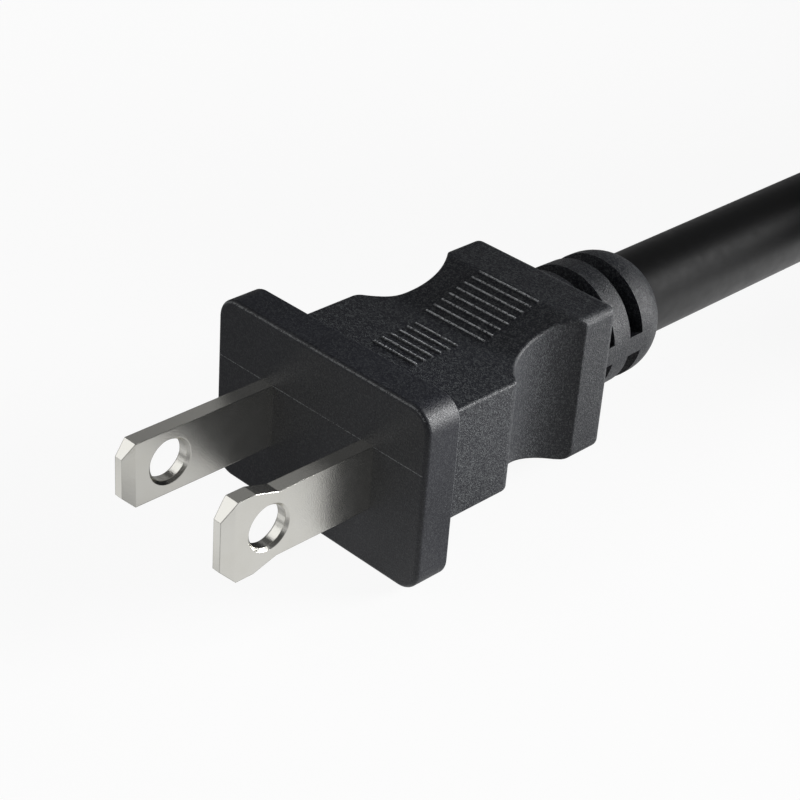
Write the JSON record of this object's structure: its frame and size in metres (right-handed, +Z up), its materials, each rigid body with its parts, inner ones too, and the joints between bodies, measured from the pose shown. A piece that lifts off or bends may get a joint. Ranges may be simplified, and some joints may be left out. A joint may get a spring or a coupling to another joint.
{
  "type": "type a plug",
  "caption": "Black moulded two-blade polarised mains plug with finger scoops, ribbed grip and a slotted strain relief, on a thick round cord folded in a tied hank.",
  "frame": {"origin": "middle of the plug's front face, midway between the two blades", "axes": "+X across the blades towards the wide neutral blade, -Y the way the blades point, +Y along the cord, +Z up"},
  "size_m": [0.0665, 0.2837, 0.0372],
  "materials": {
    "body_vinyl": "fine sparked matt",
    "bridge_plastic": "moulded",
    "blade_nickel": "satin nickel plate on brass",
    "copper_strand": "stranded copper",
    "black_insulation": "smooth",
    "white_insulation": "smooth",
    "cord_jacket": "smooth satin",
    "tie_ribbon": "ribbed ribbon"
  },
  "bodies": {
    "root": {"plug_body": "body_vinyl", "blade_bridge": "bridge_plastic", "line_blade": "blade_nickel", "neutral_blade": "blade_nickel", "line_conductor": "copper_strand", "neutral_conductor": "copper_strand", "line_insulation": "black_insulation", "neutral_insulation": "white_insulation", "cord": "cord_jacket", "cord_hank": "cord_jacket", "hank_tie": "tie_ribbon", "line_lead_insulation": "black_insulation", "neutral_lead_insulation": "white_insulation", "line_lead_conductor": "copper_strand", "neutral_lead_conductor": "copper_strand"}
  },
  "joints": []
}
